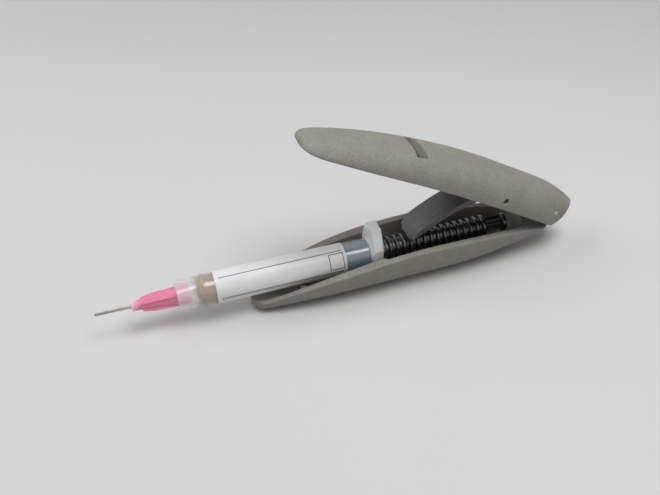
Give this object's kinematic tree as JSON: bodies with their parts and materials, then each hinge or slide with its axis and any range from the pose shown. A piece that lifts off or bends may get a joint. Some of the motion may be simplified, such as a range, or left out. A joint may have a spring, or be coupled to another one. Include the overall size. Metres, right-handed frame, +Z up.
{
  "type": "solder paste syringe in a lever dispenser",
  "caption": "Paste syringe with a luer-lock needle, held in a boat-shaped trough whose sprung squeeze lever drives a ribbed plunger rod forward through a toothed pawl.",
  "frame": {"origin": "On the flat face under the belly of the lower shell, in the plane of symmetry, 14 mm behind the front face of the barrel's flange.", "axes": "+X runs along the syringe from the needle towards the hinge, +Z is up from the belly's flat face, +Y is across, away from the side that the picture shows."},
  "size_m": [0.1847, 0.0246, 0.0672],
  "materials": {
    "printed_shell": "grainy sintered nylon, warm grey",
    "pin_steel": "plain steel pin",
    "pawl_black": "satin black print with fine layer lines",
    "spring_wire": "spring wire",
    "barrel_clear": "milky clear polypropylene",
    "label_white": "white film label",
    "paste_grey": "grey-beige paste",
    "piston_white": "smooth moulded polyethylene",
    "rod_black": "glossy black moulding",
    "hub_pink": "translucent pink moulding",
    "needle_steel": "drawn stainless tube"
  },
  "bodies": {
    "shell": {"lower_shell": "printed_shell", "syringe_barrel": "barrel_clear", "barrel_label": "label_white", "solder_paste": "paste_grey", "return_spring": "spring_wire"},
    "lever": {"upper_lever": "printed_shell", "hinge_pin": "pin_steel", "pawl_pin": "pin_steel", "pawl_spring": "spring_wire"},
    "pawl": {"drive_pawl": "pawl_black"},
    "plunger": {"plunger_rod": "rod_black", "piston_seal": "piston_white"},
    "tip": {"needle_hub": "hub_pink", "needle_tube": "needle_steel"}
  },
  "joints": [
    {"name": "lever_hinge", "type": "hinge", "parent": "shell", "child": "lever", "pos_m": [0.0594, 0, 0.018], "axis": [0, -1, 0], "range_deg": [0, 25], "stiffness_Nm_per_rad": 0.15, "springref_deg": -11.46, "deforming": ["return_spring"]},
    {"name": "pawl_pivot", "type": "hinge", "parent": "lever", "child": "pawl", "pos_m": [0.03436, 0, 0.03142], "axis": [0, -1, 0], "range_deg": [-44.5, 0], "deforming": ["pawl_spring"]},
    {"name": "plunger_slide", "type": "slide", "parent": "shell", "child": "plunger", "axis": [-1, 0, 0], "range_m": [0, 0.0066], "deforming": ["solder_paste"]},
    {"name": "tip_twist", "type": "hinge", "parent": "shell", "child": "tip", "pos_m": [-0.09, 0, 0.0123], "axis": [-1, 0, 0], "range_deg": [0, 180]}
  ],
  "couplings": [
    {"joint": "pawl_pivot", "follows": "lever_hinge", "ratio": -1.776},
    {"joint": "plunger_slide", "follows": "lever_hinge", "m_per_rad": 0.014986}
  ]
}
